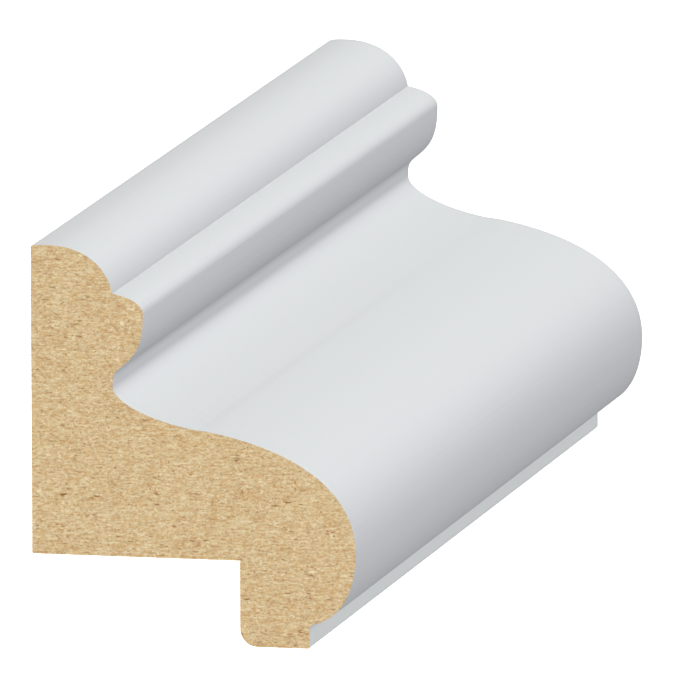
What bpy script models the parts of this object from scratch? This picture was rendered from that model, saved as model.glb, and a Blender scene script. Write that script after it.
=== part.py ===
"""Wainscot cap moulding: the rabbeted cap that finishes the top edge of wainscot panelling.

It is one length of primed MDF, run through a moulder and cut square at both ends. Its section lies in the XZ plane:
the flat back stands on the wall at X = 0, the moulded face looks along +X, and the length runs along Y. The rabbet
below drops over the top edge of the panelling. The origin is the middle of the flat back. Units are metres.
"""

import math

import bpy
from mathutils import Vector

NAME = "wainscot_cap"
COLLECTION_NAME = "wainscot_cap_moulding"

# The length is a five inch sample, cut square at both ends.
LENGTH = 0.127

# The rabbet takes panelling of 19 mm, and the lip covers its front edge.
RABBET_DEPTH = 0.0204
LIP_THICKNESS = 0.0068
LIP_DROP = 0.0083
LIP_CORNER_RADIUS = 0.0017

# The nose is the foremost round, and its heights are measured from the seat on the panelling.
NOSE_OVERHANG = 0.00455
NOSE_HEIGHT = 0.0011
NOSE_UNDERCUT = 0.0060
NOSE_FILLET_RADIUS = 0.0006

# The moulded face, member by member from the nose up to the wall: how far each climbs, and how far it runs out or in.
SLOPE_RISE = 0.01125
COVE_RISE = 0.0039
COVE_RUN = 0.0092
COVE_BACK_RISE = 0.0025
COVE_BACK_RUN = 0.0013
THUMB_RISE = 0.0048
THUMB_RETURN = 0.0017
THUMB_CROWN_RISE = 0.0019
THUMB_WIDTH = 0.0030
BEAD_RISE = 0.0044
BEAD_WIDTH = 0.0080

# Directions of the outline in degrees from +X, as it goes from the wall over the bead and down to the nose.
DOWN = -90
BACKWARDS = 180
UP = 90
BEAD_START = 7
QUIRK_SIDE = -80
THUMB_START = -10
THUMB_UNDERSIDE = -140
SLOPE_START = -10
NOSE_UNDERSIDE = -167

# How hard each curve follows its end directions, as shares of the straight distance between its ends.
BEAD_PULLS = (0.59, 0.25)
THUMB_CROWN_PULLS = (0.72, 0.15)
THUMB_PULLS = (0.55, 0.25)
COVE_BACK_PULLS = (0.54, 0.46)
COVE_PULLS = (0.18, 0.48)
SLOPE_PULLS = (0.56, 0.28)
NOSE_PULLS = (0.40, 0.37)

FACETS_PER_CURVE = 16
QUARTER_TURN = math.radians(90)

PRIMER_COLOUR = (0.76, 0.77, 0.77, 1.0)
PRIMER_ROUGHNESS = 0.6


class Knot:
    """A point of the section's outline, and the handles of the curves that reach it and leave it."""

    def __init__(self, x, z):
        self.point = Vector((x, z))
        self.reach = None
        self.leave = None


def heading(degrees):
    """The unit vector in a direction of the section."""
    return Vector((math.cos(math.radians(degrees)), math.sin(math.radians(degrees))))


def bend(start, end, leave_degrees, reach_degrees, pulls):
    """Makes the stretch between two knots one smooth curve."""
    distance = (end.point - start.point).length
    start.leave = start.point + heading(leave_degrees) * distance * pulls[0]
    end.reach = end.point - heading(reach_degrees) * distance * pulls[1]


def rounded_corner(corner, reach_degrees, leave_degrees, radius):
    """Two knots joined by a round of the given radius, in place of a corner between two directions."""
    turn = math.radians(abs(leave_degrees - reach_degrees))
    setback = radius * math.tan(turn / 2)
    start = Knot(*(corner - heading(reach_degrees) * setback))
    end = Knot(*(corner + heading(leave_degrees) * setback))
    handle_share = 4 / 3 * math.tan(turn / 4) * radius / (end.point - start.point).length
    bend(start, end, reach_degrees, leave_degrees, (handle_share, handle_share))
    return start, end


def section():
    """The knots of the closed section, with the seat on the panelling at height 0 and the wall at X = 0."""
    lip_front = RABBET_DEPTH + LIP_THICKNESS
    nose = Knot(lip_front + NOSE_OVERHANG, NOSE_HEIGHT)
    quirk_height = NOSE_HEIGHT + SLOPE_RISE + COVE_RISE + COVE_BACK_RISE + THUMB_RISE + THUMB_CROWN_RISE

    wall_top = Knot(0, quirk_height + BEAD_RISE)
    quirk = Knot(BEAD_WIDTH, quirk_height)
    thumb = Knot(quirk.point.x + THUMB_WIDTH, quirk_height - THUMB_CROWN_RISE)
    thumb_foot = Knot(thumb.point.x - THUMB_RETURN, thumb.point.y - THUMB_RISE)
    throat = Knot(thumb_foot.point.x - COVE_BACK_RUN, thumb_foot.point.y - COVE_BACK_RISE)
    slope = Knot(throat.point.x + COVE_RUN, throat.point.y - COVE_RISE)

    bend(wall_top, quirk, BEAD_START, QUIRK_SIDE, BEAD_PULLS)
    bend(quirk, thumb, THUMB_START, DOWN, THUMB_CROWN_PULLS)
    bend(thumb, thumb_foot, DOWN, THUMB_UNDERSIDE, THUMB_PULLS)
    bend(thumb_foot, throat, THUMB_UNDERSIDE, DOWN, COVE_BACK_PULLS)
    bend(throat, slope, DOWN, SLOPE_START, COVE_PULLS)
    bend(slope, nose, SLOPE_START, DOWN, SLOPE_PULLS)

    under_nose = Vector((lip_front, -NOSE_UNDERCUT))
    fillet_start, fillet_end = rounded_corner(under_nose, NOSE_UNDERSIDE, DOWN, NOSE_FILLET_RADIUS)
    bend(nose, fillet_start, DOWN, NOSE_UNDERSIDE, NOSE_PULLS)

    lip_toe = Knot(lip_front, -LIP_DROP)
    lip_heel = Vector((RABBET_DEPTH, -LIP_DROP))
    heel_start, heel_end = rounded_corner(lip_heel, BACKWARDS, UP, LIP_CORNER_RADIUS)
    rabbet_corner = Knot(RABBET_DEPTH, 0)
    wall_foot = Knot(0, 0)

    face = [wall_top, quirk, thumb, thumb_foot, throat, slope, nose, fillet_start, fillet_end]
    rabbet = [lip_toe, heel_start, heel_end, rabbet_corner, wall_foot]
    return face + rabbet, wall_top.point.y / 2


def section_curve(knots, origin_height):
    """A filled flat curve through the knots, drawn with the middle of the back at its origin."""
    data = bpy.data.curves.new(NAME, "CURVE")
    data.dimensions = "2D"
    data.fill_mode = "BOTH"
    data.extrude = LENGTH / 2
    spline = data.splines.new("BEZIER")
    spline.use_cyclic_u = True
    spline.resolution_u = FACETS_PER_CURVE
    spline.bezier_points.add(len(knots) - 1)
    for point, knot in zip(spline.bezier_points, knots):
        point.co = placed(knot.point, origin_height)
        point.handle_left_type = "FREE" if knot.reach else "VECTOR"
        point.handle_right_type = "FREE" if knot.leave else "VECTOR"
        if knot.reach:
            point.handle_left = placed(knot.reach, origin_height)
        if knot.leave:
            point.handle_right = placed(knot.leave, origin_height)
    return data


def placed(point, origin_height):
    """A point of the section in the curve's own flat frame."""
    return Vector((point.x, point.y - origin_height, 0))


def primed_mdf():
    """The factory primer on the board: a flat, slightly cool white."""
    material = bpy.data.materials.new("primed_mdf")
    material.use_nodes = True
    shader = material.node_tree.nodes["Principled BSDF"]
    shader.inputs["Base Color"].default_value = PRIMER_COLOUR
    shader.inputs["Roughness"].default_value = PRIMER_ROUGHNESS
    shader.inputs["Metallic"].default_value = 0.0
    return material


def main():
    for stale in list(bpy.data.objects):
        bpy.data.objects.remove(stale, do_unlink=True)
    collection = bpy.data.collections.new(COLLECTION_NAME)
    bpy.context.scene.collection.children.link(collection)

    knots, origin_height = section()
    cap = bpy.data.objects.new(NAME, section_curve(knots, origin_height))
    cap.data.materials.append(primed_mdf())
    cap.rotation_euler.x = QUARTER_TURN
    collection.objects.link(cap)


main()
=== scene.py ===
# %% [markdown]
# A wainscot cap moulding, dressed for the camera.
#
# The real object is one length of MDF that a moulder has run to a section: a round bead on the wall, a
# small thumb moulding under it, a cove, and a long slope that rolls over a heavy nose. A rabbet below drops
# over the edge of the panelling. Its face and lip are primed at the factory, and a saw has cut both ends
# square, so the raw board shows there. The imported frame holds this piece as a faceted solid. This script
# puts a finer skin in its place: the same section swept as one closed mesh, two sawn ends with a fibrous
# face, the primer, the raw board, and the studio.

# %% Load the frame
import math

import bmesh
import bpy
import numpy as np
from mathutils import Matrix, Vector, noise
from mathutils.geometry import delaunay_2d_cdt


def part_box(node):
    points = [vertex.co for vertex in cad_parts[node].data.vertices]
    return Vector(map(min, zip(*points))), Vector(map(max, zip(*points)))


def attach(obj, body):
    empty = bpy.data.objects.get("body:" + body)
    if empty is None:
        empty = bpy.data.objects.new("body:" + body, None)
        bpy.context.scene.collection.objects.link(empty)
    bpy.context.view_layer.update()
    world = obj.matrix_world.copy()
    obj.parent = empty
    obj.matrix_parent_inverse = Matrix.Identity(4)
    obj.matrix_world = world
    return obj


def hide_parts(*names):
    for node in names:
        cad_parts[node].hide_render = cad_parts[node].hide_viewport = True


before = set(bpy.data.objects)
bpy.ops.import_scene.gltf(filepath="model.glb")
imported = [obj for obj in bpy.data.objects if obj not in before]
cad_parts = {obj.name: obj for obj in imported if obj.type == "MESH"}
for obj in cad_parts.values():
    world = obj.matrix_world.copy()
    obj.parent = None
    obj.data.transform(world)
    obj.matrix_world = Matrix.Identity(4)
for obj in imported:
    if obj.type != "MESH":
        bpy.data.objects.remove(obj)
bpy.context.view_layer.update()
low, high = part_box("wainscot_cap")
LENGTH = high.y - low.y
MM = 0.001
print(f"the frame's moulding is {LENGTH / MM:.1f} mm long")

# %% [markdown]
# Every size below is the real one, in metres. The section has the solid's members under the same names: how
# far each climbs, and how far it runs out from the wall. They stack up from the nose, as a cutter grinder
# would draw them, and the seat of the rabbet is the level that they all start from. Between the members the
# line follows the real face a little more finely than the solid does, and is 0.15 mm off it at most.

# %% Name the section's members
RABBET_DEPTH = 20.4 * MM
LIP_THICKNESS = 6.8 * MM
LIP_DROP = 8.3 * MM
LIP_CORNER_RADIUS = 1.7 * MM
NOSE_OVERHANG = 4.55 * MM
NOSE_HEIGHT = 1.1 * MM
NOSE_UNDERCUT = 6.0 * MM
NOSE_FILLET_RADIUS = 0.6 * MM
SLOPE_RISE = 11.25 * MM
COVE_RISE = 3.9 * MM
COVE_RUN = 9.2 * MM
COVE_BACK_RISE = 2.5 * MM
COVE_BACK_RUN = 1.3 * MM
THUMB_RISE = 4.8 * MM
THUMB_RETURN = 1.7 * MM
THUMB_CROWN_RISE = 1.9 * MM
THUMB_WIDTH = 3.0 * MM
BEAD_RISE = 4.4 * MM
BEAD_WIDTH = 8.0 * MM
EASED_EDGE = 0.15 * MM
SEAT_LEVEL = low.z + LIP_DROP

# %% [markdown]
# A moulding's curves are neither circles nor straight lines, but each has a clear direction where it starts
# and where it ends. That is what a Bezier curve stores, so each member is one stretch between two knots,
# with its two directions in degrees and two pulls that say how long it keeps to them. Arcs would need more
# pieces for the same line. The corners that a cutter leaves are eased by a fraction of a millimetre, which
# is what lets them catch light. Where the path of one cutter hands over to the next, the real face has a
# step of less than a tenth of a millimetre. It is far too small to measure by eye, but it turns the surface
# by a few degrees, so it shows as a faint line.

# %% Draw the section as knots
DOWN = -90
BACKWARDS = 180
UP = 90
STEP_PULLS = (0.4, 0.4)


class Knot:
    """A point of the section, with the handles of the curves that reach it and leave it."""

    def __init__(self, x, z):
        self.point = Vector((x, z))
        self.reach = None
        self.leave = None


def heading(degrees):
    """The unit vector in a direction of the section."""
    return Vector((math.cos(math.radians(degrees)), math.sin(math.radians(degrees))))


def bend(start, end, leave_degrees, reach_degrees, pulls):
    """Makes the stretch between two knots one smooth curve."""
    distance = (end.point - start.point).length
    start.leave = start.point + heading(leave_degrees) * distance * pulls[0]
    end.reach = end.point - heading(reach_degrees) * distance * pulls[1]


def rounded_corner(corner, reach_degrees, leave_degrees, radius):
    """Two knots joined by a round of the given radius, in place of a corner between two directions."""
    turn = math.radians((leave_degrees - reach_degrees + 180) % 360 - 180)
    setback = radius * math.tan(abs(turn) / 2)
    start = Knot(*(corner - heading(reach_degrees) * setback))
    end = Knot(*(corner + heading(leave_degrees) * setback))
    share = 4 / 3 * math.tan(abs(turn) / 4) * radius / (end.point - start.point).length
    bend(start, end, reach_degrees, leave_degrees, (share, share))
    return start, end


def hand_over(middle, degrees, run, rise):
    """Two knots joined by a shallow step, as where the path of one cutter hands over to the next."""
    ahead = heading(degrees)
    outwards = heading(degrees + 90)
    start = Knot(*(middle - ahead * run / 2 - outwards * rise / 2))
    end = Knot(*(middle + ahead * run / 2 + outwards * rise / 2))
    bend(start, end, degrees, degrees, STEP_PULLS)
    return start, end


# %% [markdown]
# The members follow each other from the wall over the bead and down to the lip, and the line closes through
# the rabbet and up the back. The thumb overhangs, so its underside runs back towards the wall, and the nose
# does the same over the lip. The cutters hand over just above the throat of the cove, and again where the
# cove opens into the slope.

# %% Join the members
BEAD_START = 7
QUIRK_SIDE = -80
THUMB_START = -10
THUMB_UNDERSIDE = -138
SLOPE_START = -10
NOSE_UNDERSIDE = -167
BEAD_PULLS = (0.59, 0.25)
THUMB_CROWN_PULLS = (0.72, 0.15)
THUMB_PULLS = (0.55, 0.28)
COVE_BACK_PULLS = (0.50, 0.42)
COVE_PULLS = (0.17, 0.48)
SLOPE_PULLS = (0.56, 0.28)
NOSE_PULLS = (0.40, 0.37)
THROAT_STEP_LIFT = 0.45 * MM
THROAT_STEP_RUN = 0.5 * MM
THROAT_STEP_RISE = -0.02 * MM
SLOPE_STEP_SETBACK = 0.6 * MM
SLOPE_STEP_RUN = 1.6 * MM
SLOPE_STEP_RISE = 0.09 * MM


def section():
    """The closed section's knots, from the wall over the bead to the lip, and the last one that is primed."""
    lip_front = RABBET_DEPTH + LIP_THICKNESS
    nose = Knot(lip_front + NOSE_OVERHANG, NOSE_HEIGHT)
    quirk_height = NOSE_HEIGHT + SLOPE_RISE + COVE_RISE + COVE_BACK_RISE + THUMB_RISE + THUMB_CROWN_RISE
    top = Vector((0, quirk_height + BEAD_RISE))
    wall_top, bead_start = rounded_corner(top, UP, BEAD_START, EASED_EDGE)
    quirk = Knot(BEAD_WIDTH, quirk_height)
    thumb = Knot(BEAD_WIDTH + THUMB_WIDTH, quirk_height - THUMB_CROWN_RISE)
    thumb_foot = Knot(thumb.point.x - THUMB_RETURN, thumb.point.y - THUMB_RISE)
    throat = Vector((thumb_foot.point.x - COVE_BACK_RUN, thumb_foot.point.y - COVE_BACK_RISE))
    slope = throat + Vector((COVE_RUN, -COVE_RISE))
    over_throat = throat - heading(DOWN) * THROAT_STEP_LIFT
    before_slope = slope - heading(SLOPE_START) * SLOPE_STEP_SETBACK
    under_nose = Vector((lip_front, -NOSE_UNDERCUT))
    throat_start, throat_end = hand_over(over_throat, DOWN, THROAT_STEP_RUN, THROAT_STEP_RISE)
    slope_start, slope_end = hand_over(before_slope, SLOPE_START, SLOPE_STEP_RUN, SLOPE_STEP_RISE)
    fillet_start, fillet_end = rounded_corner(under_nose, NOSE_UNDERSIDE, DOWN, NOSE_FILLET_RADIUS)
    bend(bead_start, quirk, BEAD_START, QUIRK_SIDE, BEAD_PULLS)
    bend(quirk, thumb, THUMB_START, DOWN, THUMB_CROWN_PULLS)
    bend(thumb, thumb_foot, DOWN, THUMB_UNDERSIDE, THUMB_PULLS)
    bend(thumb_foot, throat_start, THUMB_UNDERSIDE, DOWN, COVE_BACK_PULLS)
    bend(throat_end, slope_start, DOWN, SLOPE_START, COVE_PULLS)
    bend(slope_end, nose, SLOPE_START, DOWN, SLOPE_PULLS)
    bend(nose, fillet_start, DOWN, NOSE_UNDERSIDE, NOSE_PULLS)
    top_members = [wall_top, bead_start, quirk, thumb, thumb_foot, throat_start, throat_end]
    face = [*top_members, slope_start, slope_end, nose, fillet_start, fillet_end]
    lip = [
        *rounded_corner(Vector((lip_front, -LIP_DROP)), DOWN, BACKWARDS, EASED_EDGE),
        *rounded_corner(Vector((RABBET_DEPTH, -LIP_DROP)), BACKWARDS, UP, LIP_CORNER_RADIUS),
    ]
    rabbet = [Knot(RABBET_DEPTH, 0), *rounded_corner(Vector((0, 0)), BACKWARDS, UP, EASED_EDGE)]
    return face + lip + rabbet, lip[2]


knots, last_primed = section()
print(f"the section has {len(knots)} knots")

# %% [markdown]
# Blender keeps such a section as a curve object. It is drawn flat, with its X out of the wall and its Y up,
# and a small measuring function adds up the curve's length from the first knot, so that the finish can know
# where on the section it is.

# %% Make the section a curve object
FACETS_PER_CURVE = 40
GIRTH_STEPS = 16


def placed(point):
    """A point of the section in the curve's flat frame, at the height that it has on the object."""
    return Vector((point.x, point.y + SEAT_LEVEL, 0))


def section_object():
    """The section as a closed Bezier curve with straight sides where a knot has no handle."""
    data = bpy.data.curves.new("moulding_section", "CURVE")
    data.dimensions = "3D"
    spline = data.splines.new("BEZIER")
    spline.use_cyclic_u = True
    spline.resolution_u = FACETS_PER_CURVE
    spline.bezier_points.add(len(knots) - 1)
    for point, knot in zip(spline.bezier_points, knots):
        point.co = placed(knot.point)
        point.handle_left_type = "FREE" if knot.reach else "VECTOR"
        point.handle_right_type = "FREE" if knot.leave else "VECTOR"
        if knot.reach:
            point.handle_left = placed(knot.reach)
        if knot.leave:
            point.handle_right = placed(knot.leave)
    made = bpy.data.objects.new("moulding_section", data)
    bpy.context.scene.collection.objects.link(made)
    return made


def primed_girth():
    """How far it is round the section from the first knot to the last primed one."""
    length = 0.0
    shares = [step / GIRTH_STEPS for step in range(GIRTH_STEPS + 1)]
    for start, end in zip(knots, knots[1:]):
        if start is last_primed:
            break
        steps = [start.point.lerp(end.point, t) for t in shares]
        if start.leave:
            steps = [bezier_point(start, end, t) for t in shares]
        length += sum((b - a).length for a, b in zip(steps, steps[1:]))
    return length


def bezier_point(start, end, t):
    """The point at a share t of the curve between two knots."""
    s = 1 - t
    return start.point * s**3 + start.leave * 3 * s * s * t + end.reach * 3 * s * t * t + end.point * t**3


GIRTH = primed_girth()
print(f"the primer goes {GIRTH / MM:.1f} mm round the section")

# %% [markdown]
# One small function adds a node to any tree, for materials and for geometry alike. It sets the node's
# properties and fills its inputs with plain values, or with another node, whose first open output it takes.
# Colours are written as the sRGB hex values of a paint chart, and another function turns them to the linear
# light that Blender computes with.

# %% Add nodes and read colours


def add(tree, kind, inputs=None, **settings):
    """Adds a node, sets its properties, and fills inputs with values, sockets or other nodes."""
    made = tree.nodes.new(kind)
    for name, value in settings.items():
        setattr(made, name, value)
    for key, value in (inputs or {}).items():
        socket = made.inputs[key] if isinstance(key, int) else open_socket(made.inputs, key)
        if isinstance(value, bpy.types.Node):
            value = open_socket(value.outputs)
        if isinstance(value, bpy.types.NodeSocket):
            tree.links.new(value, socket)
        else:
            socket.default_value = value
    return made


def open_socket(sockets, name=None):
    """The first socket that the node's settings leave open, of the given name if there is one."""
    return next(s for s in sockets if s.enabled and name in (None, s.name))


def linear(hex_colour):
    """An sRGB hex colour as linear red, green, blue and alpha, by the curve of the sRGB standard."""
    shares = [int(hex_colour[i : i + 2], 16) / 255 for i in (1, 3, 5)]
    light = [s / 12.92 if s <= 0.04045 else ((s + 0.055) / 1.055) ** 2.4 for s in shares]
    return (*light, 1.0)


def new_material(name):
    """An empty material, as its tree, its Principled shader and itself."""
    made = bpy.data.materials.new(name)
    made.use_nodes = True
    return made.node_tree, made.node_tree.nodes["Principled BSDF"], made


# %% [markdown]
# The raw board is medium density fibreboard: softwood ground to fibres and hot pressed into a mat. The
# fibres lie flat in the board but tangled, so a cut across it shows short pale and brown dashes, nearly
# level, and only a tenth or two of a millimetre thick. A picture would do for one side only. A solid
# pattern in Object coordinates cuts right on every side: noise stretched along X and Y and thin along Z, in
# a space that a slower noise has bent a little. Some fibres are warmer and some greyer, so a second noise
# tints the board, and hardly makes it darker.

# %% Lay the board's fibre pattern
FIBRE_THICKNESS = 0.17 * MM
FIBRE_LENGTH = 0.34 * MM
STRAND_LENGTH = 1.5 * MM
SPECK_SIZE = 0.14 * MM
CLOUD_SIZE = 6.0 * MM
HUE_PATCH = 0.35 * MM
TANGLE_SIZE = 0.9 * MM
TANGLE_REACH = 0.3 * MM
SEED_SPREAD = (1.0, 0.7, 0.3)
FIBRE_SHARE = 0.44
SPECK_SHARE = 0.19
STRAND_SHARE = 0.31
CLOUD_SHARE = 0.08
DARK_LEVEL = 0.345
MIDDLE_LEVEL = 0.50
PALE_LEVEL = 0.655
WARM_LEVEL = 0.3
GREY_LEVEL = 0.7


def tangled_space(tree):
    """Object coordinates bent by a slow noise, so that straight streaks come out tangled."""
    straight = add(tree, "ShaderNodeTexCoord").outputs["Object"]
    drift = add(tree, "ShaderNodeTexNoise", {"Vector": straight, "Scale": 1 / TANGLE_SIZE, "Detail": 1.0})
    middle = (0.5, 0.5, 0.5)
    reach = (TANGLE_REACH, TANGLE_REACH, TANGLE_REACH)
    swing = add(tree, "ShaderNodeVectorMath", {0: drift.outputs["Color"], 1: middle}, operation="SUBTRACT")
    return add(tree, "ShaderNodeVectorMath", {0: swing, 1: reach, 2: straight}, operation="MULTIPLY_ADD")


def stretched_noise(tree, space, length, thickness, seed, detail):
    """A noise from 0 to 1, of level grains with this length and thickness; the seed picks its place."""
    sizes = (1 / length, 1 / length, 1 / thickness)
    place = [seed * share for share in SEED_SPREAD]
    mapping = add(tree, "ShaderNodeMapping", {"Vector": space, "Location": place, "Scale": sizes})
    return add(tree, "ShaderNodeTexNoise", {"Vector": mapping, "Scale": 1.0, "Detail": detail})


def fibre_mat(tree, space):
    """How light the board is, from 0 to 1: fibres, ground specks, longer strands and slow clouds."""
    fibres = stretched_noise(tree, space, FIBRE_LENGTH, FIBRE_THICKNESS, seed=3.1, detail=1.5)
    specks = stretched_noise(tree, space, SPECK_SIZE, SPECK_SIZE, seed=17.3, detail=0.0)
    strands = stretched_noise(tree, space, STRAND_LENGTH, FIBRE_THICKNESS, seed=11.7, detail=1.0)
    clouds = stretched_noise(tree, space, CLOUD_SIZE, CLOUD_SIZE / 2, seed=23.9, detail=2.0)
    mat = add(tree, "ShaderNodeMath", {0: fibres, 1: FIBRE_SHARE}, operation="MULTIPLY")
    mat = add(tree, "ShaderNodeMath", {0: specks, 1: SPECK_SHARE, 2: mat}, operation="MULTIPLY_ADD")
    mat = add(tree, "ShaderNodeMath", {0: strands, 1: STRAND_SHARE, 2: mat}, operation="MULTIPLY_ADD")
    return add(tree, "ShaderNodeMath", {0: clouds, 1: CLOUD_SHARE, 2: mat}, operation="MULTIPLY_ADD")


def fibre_colour(tree, space, mat):
    """The mat's lightness as the tan of the board, browner where it is dark, with patches of other hues."""
    tones = add(tree, "ShaderNodeValToRGB", {"Fac": mat})
    ramp = tones.color_ramp
    ramp.elements[0].position = DARK_LEVEL
    ramp.elements[0].color = linear("#C0976A")
    ramp.elements[1].position = PALE_LEVEL
    ramp.elements[1].color = linear("#E7D6AE")
    middle = ramp.elements.new(MIDDLE_LEVEL)
    middle.color = linear("#D6BA8B")
    patches = add(tree, "ShaderNodeTexNoise", {"Vector": space, "Scale": 1 / HUE_PATCH, "Detail": 1.0})
    hues = add(tree, "ShaderNodeValToRGB", {"Fac": patches})
    hues.color_ramp.elements[0].position = WARM_LEVEL
    hues.color_ramp.elements[0].color = linear("#FFFBF5")
    hues.color_ramp.elements[1].position = GREY_LEVEL
    hues.color_ramp.elements[1].color = linear("#F8FAFF")
    return add(
        tree, "ShaderNodeMix", {"Factor": 1.0, "A": tones, "B": hues}, data_type="RGBA", blend_type="MULTIPLY"
    )


# %% [markdown]
# Flecks and hairs are what makes the board look like fibre and not like sand. The dark flecks are bark: a
# few slivers a millimetre long, and much finer grit, each the peaks of a noise. The pale hairs are fibres
# that were never ground down. They curl, and a noise draws such a curl where it passes through its own
# middle value, broken off by a second noise. Real grit is half this size, and it is drawn as coarse as it
# needs to be to show.

# %% Add flecks and hairs to the board
DARK_FLECK = linear("#8C6234")
PALE_HAIR = linear("#F2E2BE")
FLECK_LENGTH = 1.0 * MM
FLECK_PEAKS = (0.68, 0.82)
GRIT_SIZE = 0.24 * MM
GRIT_FLATNESS = 0.75
GRIT_PEAKS = (0.68, 0.95)
HAIR_CURL = 0.9 * MM
HAIR_WIDTH = 0.04
HAIR_PIECE_LENGTH = 0.72 * MM
HAIR_PIECE_HEIGHT = 0.45 * MM
HAIR_PIECE_SEED = 31.0
HAIR_PIECES = (0.52, 0.62)
LEVEL_HAIR_FLATNESS = 0.35
STEEP_HAIR_FLATNESS = 0.9
STEEP_HAIR_STRENGTH = 0.6
HAIR_STRENGTH = 0.8


def pale_hairs(tree, space, seed, flatness):
    """Where curled pale fibres show, from 0 to 1."""
    curls = stretched_noise(tree, space, HAIR_CURL, HAIR_CURL * flatness, seed, detail=0.0)
    other = seed + HAIR_PIECE_SEED
    pieces = stretched_noise(tree, space, HAIR_PIECE_LENGTH, HAIR_PIECE_HEIGHT, other, detail=1.0)
    start, full = HAIR_PIECES
    off_middle = add(tree, "ShaderNodeMath", {0: curls, 1: 0.5}, operation="SUBTRACT")
    off_line = add(tree, "ShaderNodeMath", {0: off_middle}, operation="ABSOLUTE")
    line = add(tree, "ShaderNodeMapRange", {"Value": off_line, "From Min": HAIR_WIDTH, "From Max": 0.0})
    kept = add(tree, "ShaderNodeMapRange", {"Value": pieces, "From Min": start, "From Max": full})
    return add(tree, "ShaderNodeMath", {0: line, 1: kept}, operation="MULTIPLY")


def flecked(tree, space, colour):
    """The board's colour with its dark flecks and pale hairs."""
    grit = stretched_noise(tree, space, GRIT_SIZE, GRIT_SIZE * GRIT_FLATNESS, seed=91.7, detail=0.0)
    start, full = GRIT_PEAKS
    dotted = add(tree, "ShaderNodeMapRange", {"Value": grit, "From Min": start, "From Max": full})
    dots = add(tree, "ShaderNodeMix", {"Factor": dotted, "A": colour, "B": DARK_FLECK}, data_type="RGBA")
    slivers = stretched_noise(tree, space, FLECK_LENGTH, FLECK_LENGTH / 4, seed=41.3, detail=1.0)
    start, full = FLECK_PEAKS
    dark = add(tree, "ShaderNodeMapRange", {"Value": slivers, "From Min": start, "From Max": full})
    darkened = add(tree, "ShaderNodeMix", {"Factor": dark, "A": dots, "B": DARK_FLECK}, data_type="RGBA")
    level = pale_hairs(tree, space, seed=57.1, flatness=LEVEL_HAIR_FLATNESS)
    steep = pale_hairs(tree, space, seed=73.9, flatness=STEEP_HAIR_FLATNESS)
    steep = add(tree, "ShaderNodeMath", {0: steep, 1: STEEP_HAIR_STRENGTH}, operation="MULTIPLY")
    pale = add(tree, "ShaderNodeMath", {0: level, 1: steep}, operation="MAXIMUM")
    pale = add(tree, "ShaderNodeMath", {0: pale, 1: HAIR_STRENGTH}, operation="MULTIPLY")
    return add(tree, "ShaderNodeMix", {"Factor": pale, "A": darkened, "B": PALE_HAIR}, data_type="RGBA")


# %% [markdown]
# The saw leaves the end matt and a little furry, and the moulder's knives leave the back and the rabbet
# smoother. Both are the same board, so one function makes both finishes, each with its own roughness and
# depth of relief. Bare fibre has next to no gloss, so the shader's specular level is low, and the eye reads
# it as dry.

# %% Mix the sawn and the planed board


def raw_board(name, roughness, relief):
    """Bare MDF, as the saw or the knives leave it."""
    tree, shader, made = new_material(name)
    space = tangled_space(tree)
    mat = fibre_mat(tree, space)
    colour = flecked(tree, space, fibre_colour(tree, space, mat))
    bump = add(tree, "ShaderNodeBump", {"Height": mat, "Distance": relief})
    tree.links.new(open_socket(colour.outputs), shader.inputs["Base Color"])
    tree.links.new(bump.outputs["Normal"], shader.inputs["Normal"])
    shader.inputs["Roughness"].default_value = roughness
    shader.inputs["IOR"].default_value = 1.45
    shader.inputs["Specular IOR Level"].default_value = 0.25
    return made


SAWN = raw_board("sawn_mdf", roughness=0.9, relief=0.015 * MM)
PLANED = raw_board("planed_mdf", roughness=0.75, relief=0.01 * MM)
print(f"mixed {SAWN.name} and {PLANED.name}, of {len(SAWN.node_tree.nodes)} nodes each")

# %% [markdown]
# The primer is a water-based acrylic, laid on by machine as the length runs through, and sanded once. It is
# a cool white, flat enough to hide the board and glossy enough to show its rounds. Its film keeps the faint
# lines that the knives leave along the run, and a shallow peel. Both are much finer than a pixel, so they
# are drawn a little coarser. The lip is painted a little whiter than the nose above it: this is painted
# light, which stands in for the light that falls on the lip.

# %% Mix the primer
PRIMER = linear("#E1E3E4")
# The lip's primer colour is painted light: a whiter tone that stands in for light falling on the lip.
LIP_PAINTED_LIGHT = linear("#ECF0EE")
PRIMER_ROUGHNESS = 0.5
NOSE_FOOT = SEAT_LEVEL - NOSE_UNDERCUT
# How far the painted light on the lip fades in, below the foot of the nose.
LIP_LIGHT_FADE = 1.0 * MM
KNIFE_LINE = 0.45 * MM
KNIFE_RUN = 90 * MM
PEEL_SIZE = 0.9 * MM
PEEL_SHARE = 0.3
FILM_RELIEF = 0.03 * MM
FILM_STRENGTH = 0.5


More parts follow.
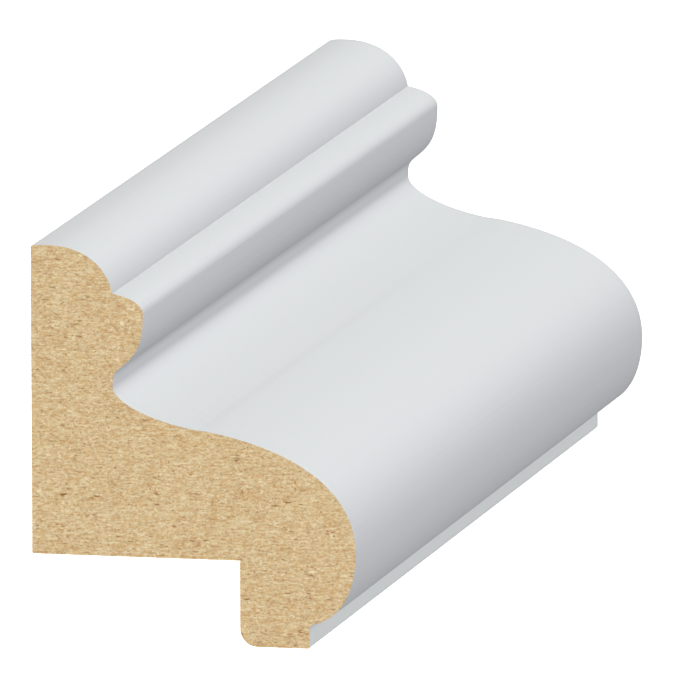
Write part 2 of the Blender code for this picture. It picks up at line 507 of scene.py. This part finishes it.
def primer_coat():
    """Factory primer on a moulded profile, with knife lines along the run and a shallow peel."""
    tree, shader, made = new_material("acrylic_primer")
    space = add(tree, "ShaderNodeTexCoord").outputs["Object"]
    sizes = (1 / KNIFE_LINE, 1 / KNIFE_RUN, 1 / KNIFE_LINE)
    along = add(tree, "ShaderNodeMapping", {"Vector": space, "Scale": sizes})
    lines = add(tree, "ShaderNodeTexNoise", {"Vector": along, "Scale": 1.0, "Detail": 1.0})
    peel = add(tree, "ShaderNodeTexNoise", {"Vector": space, "Scale": 1 / PEEL_SIZE, "Detail": 1.0})
    film = add(tree, "ShaderNodeMath", {0: peel, 1: PEEL_SHARE, 2: lines}, operation="MULTIPLY_ADD")
    bump = add(tree, "ShaderNodeBump", {"Height": film, "Strength": FILM_STRENGTH, "Distance": FILM_RELIEF})
    height = add(tree, "ShaderNodeSeparateXYZ", {"Vector": space}).outputs["Z"]
    # Below the foot of the nose the primer turns whiter. This is painted light on the lip, not a heavier
    # coat.
    over_lip = {"Value": height, "From Min": NOSE_FOOT, "From Max": NOSE_FOOT - LIP_LIGHT_FADE}
    lip_light = add(tree, "ShaderNodeMapRange", over_lip)
    coat = add(tree, "ShaderNodeMix", {"Factor": lip_light, "A": PRIMER, "B": LIP_PAINTED_LIGHT}, data_type="RGBA")
    tree.links.new(open_socket(coat.outputs), shader.inputs["Base Color"])
    tree.links.new(bump.outputs["Normal"], shader.inputs["Normal"])
    shader.inputs["Roughness"].default_value = PRIMER_ROUGHNESS
    shader.inputs["IOR"].default_value = 1.48
    return made


PRIMED = primer_coat()
# The whiter primer below the nose's foot, which this print calls a heavier coat, is painted light.
print(f"mixed {PRIMED.name}, with a heavier coat below {NOSE_FOOT / MM:.1f} mm")

# %% [markdown]
# The coat does not stop dead at the edges of the back and of the rabbet: a mist of it drifts round them and
# thins out over a few millimetres in ever fewer droplets. The mesh carries how far each point lies past the
# coat's edge, and a droplet shows where a fine noise is higher than that distance lets it be. Real droplets
# are a tenth of this size.

# %% Let the primer drift round the edges
MIST_REACH = 4.0 * MM
MIST_FALL = 0.5
MIST_EDGE = (-0.25, 0.15)
DROPLET = 0.4 * MM
DRIFT_SIZE = 14.0 * MM


def mist_on(material):
    """Lays a mist of primer on a finish, thinning out by the attribute past_coat."""
    tree = material.node_tree
    shader = tree.nodes["Principled BSDF"]
    bare = shader.inputs["Base Color"].links[0].from_socket
    space = add(tree, "ShaderNodeTexCoord").outputs["Object"]
    past = add(tree, "ShaderNodeAttribute", attribute_name="past_coat").outputs["Fac"]
    drift = add(tree, "ShaderNodeTexNoise", {"Vector": space, "Scale": 1 / DRIFT_SIZE, "Detail": 1.0})
    reach = add(tree, "ShaderNodeMath", {0: drift, 1: 2 * MIST_REACH}, operation="MULTIPLY")
    thin = add(tree, "ShaderNodeMath", {0: past, 1: reach}, operation="DIVIDE")
    thin = add(tree, "ShaderNodeMath", {0: thin, 1: MIST_FALL}, operation="POWER")
    drops = add(tree, "ShaderNodeTexNoise", {"Vector": space, "Scale": 1 / DROPLET, "Detail": 1.0})
    over = add(tree, "ShaderNodeMath", {0: drops, 1: thin}, operation="SUBTRACT")
    start, full = MIST_EDGE
    cover = add(tree, "ShaderNodeMapRange", {"Value": over, "From Min": start, "From Max": full})
    misted = add(tree, "ShaderNodeMix", {"Factor": cover, "A": bare, "B": PRIMER}, data_type="RGBA")
    tree.links.new(open_socket(misted.outputs), shader.inputs["Base Color"])


mist_on(PLANED)
print(f"the primer drifts about {MIST_REACH / MM:.0f} mm past its edge")

# %% [markdown]
# The long body is a sweep: one section carried along a straight line, which is exactly what the moulder
# does. Geometry Nodes do it with Curve to Mesh. The rail stands upright, because there the section keeps
# its own X and Y, and a quarter turn lays the run down along Y. The tree also stores how far each point
# lies past the primer's edge, so that the back can be sprayed by it.

# %% Build the tree that runs the moulding
LENGTH_CUTS = 25
QUARTER_TURN = math.radians(90)


def new_tree(name, sockets):
    """An empty modifier tree, its group input and its group output, with more inputs by name and type."""
    tree = bpy.data.node_groups.new(name, "GeometryNodeTree")
    tree.is_modifier = True
    tree.interface.new_socket("Geometry", in_out="INPUT", socket_type="NodeSocketGeometry")
    tree.interface.new_socket("Geometry", in_out="OUTPUT", socket_type="NodeSocketGeometry")
    for label, kind in sockets:
        tree.interface.new_socket(label, in_out="INPUT", socket_type=kind)
    return tree, tree.nodes.new("NodeGroupInput").outputs, tree.nodes.new("NodeGroupOutput")


def run_tree():
    """Sweeps the object's section along a straight run, and stores how far each point is past the coat."""
    tree, given, result = new_tree(
        "run_moulding",
        [
            ("Run Length", "NodeSocketFloat"),
            ("Cuts", "NodeSocketInt"),
            ("Primed Girth", "NodeSocketFloat"),
            ("Finish", "NodeSocketMaterial"),
        ],
    )
    half = add(tree, "ShaderNodeMath", {0: given["Run Length"], 1: 0.5}, operation="MULTIPLY")
    minus_half = add(tree, "ShaderNodeMath", {0: given["Run Length"], 1: -0.5}, operation="MULTIPLY")
    start = add(tree, "ShaderNodeCombineXYZ", {"Z": minus_half})
    end = add(tree, "ShaderNodeCombineXYZ", {"Z": half})
    line = add(tree, "GeometryNodeCurvePrimitiveLine", {"Start": start, "End": end})
    rail = add(tree, "GeometryNodeResampleCurve", {"Curve": line, "Count": given["Cuts"]})
    profile = add(tree, "GeometryNodeResampleCurve", {"Curve": given["Geometry"]}, mode="EVALUATED")
    place = add(tree, "GeometryNodeSplineParameter").outputs["Length"]
    whole = add(tree, "GeometryNodeSplineLength").outputs["Length"]
    after_lip = add(tree, "ShaderNodeMath", {0: place, 1: given["Primed Girth"]}, operation="SUBTRACT")
    before_top = add(tree, "ShaderNodeMath", {0: whole, 1: place}, operation="SUBTRACT")
    past = add(tree, "ShaderNodeMath", {0: after_lip, 1: before_top}, operation="MINIMUM")
    past = add(tree, "ShaderNodeMath", {0: past, 1: 0.0}, operation="MAXIMUM")
    marked = add(
        tree,
        "GeometryNodeStoreNamedAttribute",
        {"Geometry": profile, "Name": "past_coat", "Value": past},
        data_type="FLOAT",
        domain="POINT",
    )
    swept = add(tree, "GeometryNodeCurveToMesh", {"Curve": rail, "Profile Curve": marked})
    laid = add(tree, "GeometryNodeTransform", {"Geometry": swept, "Rotation": (QUARTER_TURN, 0, 0)})
    real = add(tree, "GeometryNodeRealizeInstances", {"Geometry": laid})
    dressed = add(tree, "GeometryNodeSetMaterial", {"Geometry": real, "Material": given["Finish"]})
    tree.links.new(dressed.outputs[0], result.inputs[0])
    return tree


def grown(source, tree, values, name):
    """Runs a tree on an object with the named input values, and returns the result as a plain mesh object."""
    modifier = source.modifiers.new("grow", "NODES")
    modifier.node_group = tree
    for socket in tree.interface.items_tree:
        if socket.in_out == "INPUT" and socket.name in values:
            modifier[socket.identifier] = values[socket.name]
    bpy.context.view_layer.update()
    evaluated = source.evaluated_get(bpy.context.evaluated_depsgraph_get())
    mesh = bpy.data.meshes.new_from_object(evaluated)
    source.modifiers.remove(modifier)
    made = bpy.data.objects.new(name, mesh)
    mesh.name = name
    bpy.context.scene.collection.objects.link(made)
    return made


drawn = section_object()
run_values = {"Run Length": LENGTH, "Cuts": LENGTH_CUTS, "Primed Girth": GIRTH, "Finish": PRIMED}
body = grown(drawn, run_tree(), run_values, "moulded_cap")
bpy.data.objects.remove(drawn, do_unlink=True)
print(f"the swept run has {len(body.data.polygons)} faces")

# %% [markdown]
# A sawn end is flat only from a distance. It could be one big face with a bump map, but then its outline to
# the light would be flat, and the mesh that other people get would be too. So each end is a fine net of
# triangles: the section's own rim, and a grid of points inside it, joined by a Delaunay triangulation. Each
# inner point sinks by a few hundredths of a millimetre, more where the noise is high, and none stands out
# past the cut.

# %% Measure how far a point is from the rim
NEAR_GRID = 0.17 * MM
FAR_GRID = 0.26 * MM
NEAR_RELIEF = 0.06 * MM
FAR_RELIEF = 0.05 * MM
RIM_FADE = 0.35 * MM
LONG_TEAR = (1.4 * MM, 0.45 * MM)
SHORT_TEAR = (0.5 * MM, 0.25 * MM)
LONG_TEAR_SHARE = 0.45
SHORT_TEAR_SHARE = 0.35
SHORT_TEAR_SEED = 7
SMALLEST_SQUARE = 1e-18


def distances(points, starts, ends):
    """The distance from each point to the nearest of some straight pieces."""
    nearest = np.full(len(points), np.inf)
    for start, end in zip(starts, ends):
        along = end - start
        share = np.clip((points - start) @ along / max(along @ along, SMALLEST_SQUARE), 0, 1)
        gap = np.hypot(*(points - start - share[:, None] * along).T)
        nearest = np.minimum(nearest, gap)
    return nearest


def inside(points, rim):
    """Which points lie inside a closed rim."""
    crossings = np.zeros(len(points), bool)
    for start, end in zip(rim, np.roll(rim, -1, axis=0)):
        spans = (start[1] > points[:, 1]) != (end[1] > points[:, 1])
        rise = end[1] - start[1]
        if rise != 0:
            crossing = start[0] + (points[:, 1] - start[1]) / rise * (end[0] - start[0])
            crossings ^= spans & (points[:, 0] < crossing)
    return crossings


def fibre_relief(x, z, seed):
    """How deep the saw tore here, from 0 to 1: level streaks with smaller ones on them."""
    long_tears = noise.noise(Vector((x / LONG_TEAR[0], seed, z / LONG_TEAR[1])))
    short_tears = noise.noise(Vector((x / SHORT_TEAR[0], seed + SHORT_TEAR_SEED, z / SHORT_TEAR[1])))
    depth = 0.5 + LONG_TEAR_SHARE * long_tears + SHORT_TEAR_SHARE * short_tears
    return min(1.0, max(0.0, depth))


# %% [markdown]
# An end is closed in three moves. The open rim is walked round from vertex to vertex, the net is laid
# inside it, and the net's outer triangles are joined to the rim's own vertices, so that the skin stays one
# closed shell. Each point's distance to the rim is kept, because a loose fibre must not reach past the rim.
# Last, every face is turned outwards, and the back, the rabbet and the ends get their own finishes.

# %% Close an end with a torn face
PRIMED_SLOT = 0
PLANED_SLOT = 1
SAWN_SLOT = 2
NEAR_SEED = 4
FAR_SEED = 9
GRID_JITTER = 0.3
RIM_CLEARANCE = 0.5
AT_THE_CUT = 0.01 * MM
MERGE_GAP = 1e-9
SHARP_ANGLE = math.radians(30)


def rim_loop(mesh, end):
    """The boundary vertices at one end, in order round the section."""
    ring = [v for v in mesh.verts if abs(v.co.y - end) < AT_THE_CUT]
    first = ring[0]
    ordered = [first]
    seen = {first}
    while True:
        onward = [
            e.other_vert(ordered[-1])
            for e in ordered[-1].link_edges
            if e.is_boundary and e.other_vert(ordered[-1]) not in seen
        ]
        if not onward:
            return ordered
        ordered.append(onward[0])
        seen.add(onward[0])


def close_end(mesh, end, grid, relief, seed, to_rim):
    """Fills an open end with a fine net, sunk by the relief, and stores each point's distance to the rim."""
    loop = rim_loop(mesh, end)
    rim = np.array([(v.co.x, v.co.z) for v in loop])
    across = np.arange(rim[:, 0].min(), rim[:, 0].max(), grid)
    upwards = np.arange(rim[:, 1].min(), rim[:, 1].max(), grid)
    points = np.array([(x, z) for z in upwards for x in across])
    jitter = GRID_JITTER * grid
    points = points + np.random.default_rng(seed).uniform(-jitter, jitter, points.shape)
    points = points[inside(points, rim)]
    gap = distances(points, rim, np.roll(rim, -1, axis=0))
    clear = gap > RIM_CLEARANCE * grid
    points = points[clear]
    gap = gap[clear]
    corners = [Vector(p) for p in np.vstack([rim, points]).tolist()]
    rim_edges = [(i, (i + 1) % len(rim)) for i in range(len(rim))]
    net = delaunay_2d_cdt(corners, rim_edges, [], 1, MERGE_GAP)
    vertices = list(loop)
    for (x, z), distance in zip(points, gap):
        depth = relief * fibre_relief(x, z, seed) * min(1.0, distance / RIM_FADE)
        vertices.append(mesh.verts.new((x, end - math.copysign(depth, end), z)))
        vertices[-1][to_rim] = distance
    for triangle in net[2]:
        face = mesh.faces.new([vertices[net[3][i][0]] for i in triangle])
        face.material_index = SAWN_SLOT
    return len(points)


def finish_body():
    """Closes both ends, turns every face outwards and gives each side of the section its own finish."""
    mesh = bmesh.new()
    mesh.from_mesh(body.data)
    to_rim = mesh.verts.layers.float.new("to_rim")
    past = mesh.verts.layers.float["past_coat"]
    for face in mesh.faces:
        bare = max(v[past] for v in face.verts) > 0
        face.material_index = PLANED_SLOT if bare else PRIMED_SLOT
    near_points = close_end(mesh, -LENGTH / 2, NEAR_GRID, NEAR_RELIEF, NEAR_SEED, to_rim)
    far_points = close_end(mesh, LENGTH / 2, FAR_GRID, FAR_RELIEF, FAR_SEED, to_rim)
    bmesh.ops.recalc_face_normals(mesh, faces=mesh.faces[:])
    for finish in (PLANED, SAWN):
        body.data.materials.append(finish)
    mesh.to_mesh(body.data)
    mesh.free()
    body.data.shade_smooth()
    body.data.set_sharp_from_angle(angle=SHARP_ANGLE)
    return near_points, far_points


print("points inside the two ends:", finish_body())

# %% [markdown]
# A saw tears fibres loose as well, and they lie on the cut as fine pale hairs: a third of a millimetre to
# two millimetres long, level more often than not, each with a little curl. So many of one thing call for
# Geometry Nodes again: points scattered over the two ends, a small arc on each, turned and stretched at
# random, and a thin tube round every arc. They are pressed into the cut, so that none stands out past it,
# and a hair near the rim is short enough to stay on.

# %% Build the tree that lays loose fibres
HAIR_RADIUS = 0.02 * MM
HAIRS_PER_AREA = 0.09 / MM**2
SHORTEST_HAIR = 0.35 * MM
LONGEST_HAIR = 2.0 * MM
HAIR_SEED = 5
LEVEL_BIAS = 3.0
SHORT_BIAS = 2.5
RIM_ROOM = 1.6
MOST_CURL = 0.6
ARC_STEPS = 7
TUBE_SIDES = 5


def hair_tree():
    """Lays small curled tubes on the sawn faces."""
    tree, given, result = new_tree(
        "lay_loose_fibres",
        [
            ("Density", "NodeSocketFloat"),
            ("Shortest", "NodeSocketFloat"),
            ("Longest", "NodeSocketFloat"),
            ("Thickness", "NodeSocketFloat"),
            ("Deepest Out", "NodeSocketFloat"),
            ("Seed", "NodeSocketInt"),
            ("Finish", "NodeSocketMaterial"),
        ],
    )
    index = add(tree, "GeometryNodeInputMaterialIndex")
    sawn = add(tree, "FunctionNodeCompare", {"A": index, "B": SAWN_SLOT}, data_type="INT", operation="EQUAL")
    amount = {"Density": given["Density"], "Seed": given["Seed"]}
    scatter = {"Mesh": given["Geometry"], "Selection": sawn, **amount}
    points = add(tree, "GeometryNodeDistributePointsOnFaces", scatter)
    turn = add(tree, "FunctionNodeRandomValue", {"Min": -1.0, "Max": 1.0, "Seed": 1}, data_type="FLOAT")
    level = add(tree, "ShaderNodeMath", {0: turn, 1: LEVEL_BIAS}, operation="POWER")
    angle = add(tree, "ShaderNodeMath", {0: level, 1: QUARTER_TURN}, operation="MULTIPLY")
    facing = add(tree, "ShaderNodeCombineXYZ", {"Y": angle})
    pick = add(tree, "FunctionNodeRandomValue", {"Min": 0.0, "Max": 1.0, "Seed": 2}, data_type="FLOAT")
    mostly_short = add(tree, "ShaderNodeMath", {0: pick, 1: SHORT_BIAS}, operation="POWER")
    spread = {"Value": mostly_short, "To Min": given["Shortest"], "To Max": given["Longest"]}
    length = add(tree, "ShaderNodeMapRange", spread)
    rim_gap = add(tree, "GeometryNodeInputNamedAttribute", {"Name": "to_rim"}, data_type="FLOAT")
    room = add(tree, "ShaderNodeMath", {0: rim_gap, 1: RIM_ROOM}, operation="MULTIPLY")
    length = add(tree, "ShaderNodeMath", {0: length, 1: room}, operation="MINIMUM")
    bends = {"Min": -MOST_CURL, "Max": MOST_CURL, "Seed": 3}
    curl = add(tree, "FunctionNodeRandomValue", bends, data_type="FLOAT")
    height = add(tree, "ShaderNodeMath", {0: length, 1: curl}, operation="MULTIPLY")
    size = add(tree, "ShaderNodeCombineXYZ", {"X": length, "Y": 1.0, "Z": height})
    ends = {"Start": (-0.5, 0, 0), "Middle": (0.1, 0, 0.5), "End": (0.5, 0, 0), "Resolution": ARC_STEPS}
    arc = add(tree, "GeometryNodeCurveQuadraticBezier", ends)
    laying = {"Points": points, "Instance": arc, "Rotation": facing, "Scale": size}
    laid = add(tree, "GeometryNodeInstanceOnPoints", laying)
    arcs = add(tree, "GeometryNodeRealizeInstances", {"Geometry": laid})
    place = add(tree, "GeometryNodeInputPosition")
    highest = add(tree, "ShaderNodeCombineXYZ", {"X": 1.0, "Y": given["Deepest Out"], "Z": 1.0})
    lowest = add(tree, "ShaderNodeVectorMath", {0: highest, "Scale": -1.0}, operation="SCALE")
    pressed = add(tree, "ShaderNodeVectorMath", {0: place, 1: highest}, operation="MINIMUM")
    pressed = add(tree, "ShaderNodeVectorMath", {0: pressed, 1: lowest}, operation="MAXIMUM")
    sunk = add(tree, "GeometryNodeSetPosition", {"Geometry": arcs, "Position": pressed})
    round_ring = {"Resolution": TUBE_SIDES, "Radius": given["Thickness"]}
    ring = add(tree, "GeometryNodeCurvePrimitiveCircle", round_ring)
    tubes = add(tree, "GeometryNodeCurveToMesh", {"Curve": sunk, "Profile Curve": ring, "Fill Caps": True})
    real = add(tree, "GeometryNodeRealizeInstances", {"Geometry": tubes})
    dressed = add(tree, "GeometryNodeSetMaterial", {"Geometry": real, "Material": given["Finish"]})
    tree.links.new(dressed.outputs[0], result.inputs[0])
    return tree


# %% [markdown]
# A loose fibre is bleached by the tearing, so it is paler than the mat that it lies on, and it has a slight
# sheen of its own. A slow noise makes some of them browner, so that they don't all look like the same
# thread.

# %% Lay the loose fibres
BROWN_PATCH = 2.5 * MM
BROWN_LEVEL = 0.345
STRAW_LEVEL = 0.55


def loose_fibre():
    """Torn softwood fibre: pale straw, some of it browner, with a faint sheen."""
    tree, shader, made = new_material("torn_wood_fibre")
    space = add(tree, "ShaderNodeTexCoord").outputs["Object"]
    patches = add(tree, "ShaderNodeTexNoise", {"Vector": space, "Scale": 1 / BROWN_PATCH, "Detail": 0.0})
    tones = add(tree, "ShaderNodeValToRGB", {"Fac": patches})
    tones.color_ramp.elements[0].position = BROWN_LEVEL
    tones.color_ramp.elements[0].color = linear("#C9A470")
    tones.color_ramp.elements[1].position = STRAW_LEVEL
    tones.color_ramp.elements[1].color = linear("#EFDDB6")
    tree.links.new(tones.outputs["Color"], shader.inputs["Base Color"])
    shader.inputs["Roughness"].default_value = 0.7
    shader.inputs["IOR"].default_value = 1.45
    return made


hair_values = {
    "Density": HAIRS_PER_AREA,
    "Shortest": SHORTEST_HAIR,
    "Longest": LONGEST_HAIR,
    "Thickness": HAIR_RADIUS,
    "Deepest Out": LENGTH / 2 - HAIR_RADIUS,
    "Seed": HAIR_SEED,
    "Finish": loose_fibre(),
}
hairs = grown(body, hair_tree(), hair_values, "torn_fibres")
hairs.data.shade_smooth()
print(f"the loose fibres have {len(hairs.data.polygons)} faces")

# %% [markdown]
# The floor is plain and pale, and lies a little below the piece, because on a wall nothing stands under it.
# The camera alone sees it, so that it stays white without throwing light on the undersides that the real
# room would not.

# %% Set the floor
FLOOR_DROP = 0.12
FLOOR_SIZE = 40.0


def pale_floor():
    """A plain white sweep under the piece."""
    bpy.ops.mesh.primitive_plane_add(size=FLOOR_SIZE, location=(0, 0, low.z - FLOOR_DROP))
    made = bpy.context.active_object
    made.name = "floor"
    _, shader, material = new_material("white_sweep")
    shader.inputs["Base Color"].default_value = linear("#F4F4F4")
    shader.inputs["Roughness"].default_value = 0.9
    shader.inputs["Emission Color"].default_value = linear("#FFFFFF")
    shader.inputs["Emission Strength"].default_value = 1.0
    made.data.materials.append(material)
    made.visible_diffuse = False
    made.visible_glossy = False
    made.visible_shadow = False
    return made


floor = pale_floor()
print(f"the floor is {FLOOR_DROP / MM:.0f} mm under the piece")

# %% [markdown]
# The light is soft and comes from all round, and no face of the piece throws a shadow on another. That is
# how the real primer looks here: how light it is depends only on where it faces. It is lightest where it
# faces up at sixty degrees and darkest where it faces down, and the hollows are no darker than the rounds.
# So the boxes cast no shadows, and each lights a face once and leaves it at that. Their tints are slight,
# and leave the shaded sides a little more blue.

# %% Light it softly
LIGHT_DISTANCE = 2.0
FILL_STRENGTH = 0.048
SEEN_STRENGTH = 1.1


def soft_box(name, azimuth, elevation, size, power, tint="#FFFFFF"):
    """A square soft light that looks at the piece; azimuth 0 is the near end's side, and 90 is +X."""
    a = math.radians(azimuth)
    e = math.radians(elevation)
    direction = Vector((math.sin(a) * math.cos(e), -math.cos(a) * math.cos(e), math.sin(e)))
    data = bpy.data.lights.new(name, "AREA")
    data.shape = "SQUARE"
    data.size = size
    data.energy = power
    data.color = linear(tint)[:3]
    data.use_shadow = False
    data.cycles.max_bounces = 0
    data.cycles.use_multiple_importance_sampling = False
    made = bpy.data.objects.new(name, data)
    made.location = direction * LIGHT_DISTANCE
    made.rotation_euler = direction.to_track_quat("Z", "Y").to_euler()
    made.visible_camera = False
    bpy.context.scene.collection.objects.link(made)


soft_box("front_box", 75, 25, 1.2, 10.1, "#FCFAFF")
soft_box("top_box", 80, 80, 1.2, 21.2, "#FDFCFF")
soft_box("side_box", 90, 0, 1.2, 11.3, "#FDFDFF")
soft_box("low_box", 90, -70, 1.2, 9.3, "#F6F8FF")
soft_box("end_box", 5, 5, 1.2, 34.2)
soft_box("far_box", 178, 16, 1.0, 5.5, "#F5FFF4")
soft_box("back_box", 225, 4, 1.5, 42.0)
soft_box("seat_box", 270, -50, 1.2, 18.0)


def even_fill(strength):
    """A world that fills evenly and looks white to the camera."""
    world = bpy.data.worlds.new("studio")
    world.use_nodes = True
    tree = world.node_tree
    fill = tree.nodes["Background"]
    fill.inputs["Color"].default_value = linear("#FAFBFF")
    fill.inputs["Strength"].default_value = strength
    seen = add(tree, "ShaderNodeBackground", {"Color": linear("#FFFFFF"), "Strength": SEEN_STRENGTH})
    rays = add(tree, "ShaderNodeLightPath")
    mix = add(
        tree,
        "ShaderNodeMixShader",
        {0: rays.outputs["Is Camera Ray"], 1: fill.outputs[0], 2: seen.outputs[0]},
    )
    tree.links.new(mix.outputs[0], tree.nodes["World Output"].inputs["Surface"])
    bpy.context.scene.world = world


even_fill(FILL_STRENGTH)
bpy.context.scene.view_settings.view_transform = "Standard"
print(f"the piece has {len(bpy.data.lights)} soft boxes round it")

# %% [markdown]
# The reference picture has no vanishing point: its near and far ends are the same size. A very long lens
# from three metres away comes close to that. An orthographic camera would match it exactly, but it could
# not step back for the views from other sides.

# %% Place the camera
CAMERA_AZIMUTH = 13.021
CAMERA_ELEVATION = 9.632
CAMERA_ROLL = -0.231
CAMERA_LENS = 1700
CAMERA_DISTANCE = 3.130
NEAREST_SEEN = 0.1
FARTHEST_SEEN = 30.0
AIM_RIGHT = 15.241 * MM
AIM_UP = -4.716 * MM


def long_camera():
    """A camera on a long lens, turned round the piece by azimuth, elevation and a slight roll."""
    a = math.radians(CAMERA_AZIMUTH)
    e = math.radians(CAMERA_ELEVATION)
    back = Vector((math.sin(a) * math.cos(e), -math.cos(a) * math.cos(e), math.sin(e)))
    right = Vector((math.cos(a), math.sin(a), 0))
    roll = Matrix.Rotation(math.radians(CAMERA_ROLL), 3, back)
    right = roll @ right
    up = back.cross(right)
    data = bpy.data.cameras.new("camera")
    data.lens = CAMERA_LENS
    data.clip_start = NEAREST_SEEN
    data.clip_end = FARTHEST_SEEN
    made = bpy.data.objects.new("camera", data)
    made.matrix_world = Matrix((right, up, back)).transposed().to_4x4()
    made.location = right * AIM_RIGHT + up * AIM_UP + back * CAMERA_DISTANCE
    bpy.context.scene.collection.objects.link(made)
    bpy.context.scene.camera = made


long_camera()
print(f"the camera stands {CAMERA_DISTANCE:.2f} m away")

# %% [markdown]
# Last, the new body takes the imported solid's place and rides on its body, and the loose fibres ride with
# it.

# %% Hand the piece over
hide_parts("wainscot_cap")
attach(body, "root")
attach(hairs, "root")
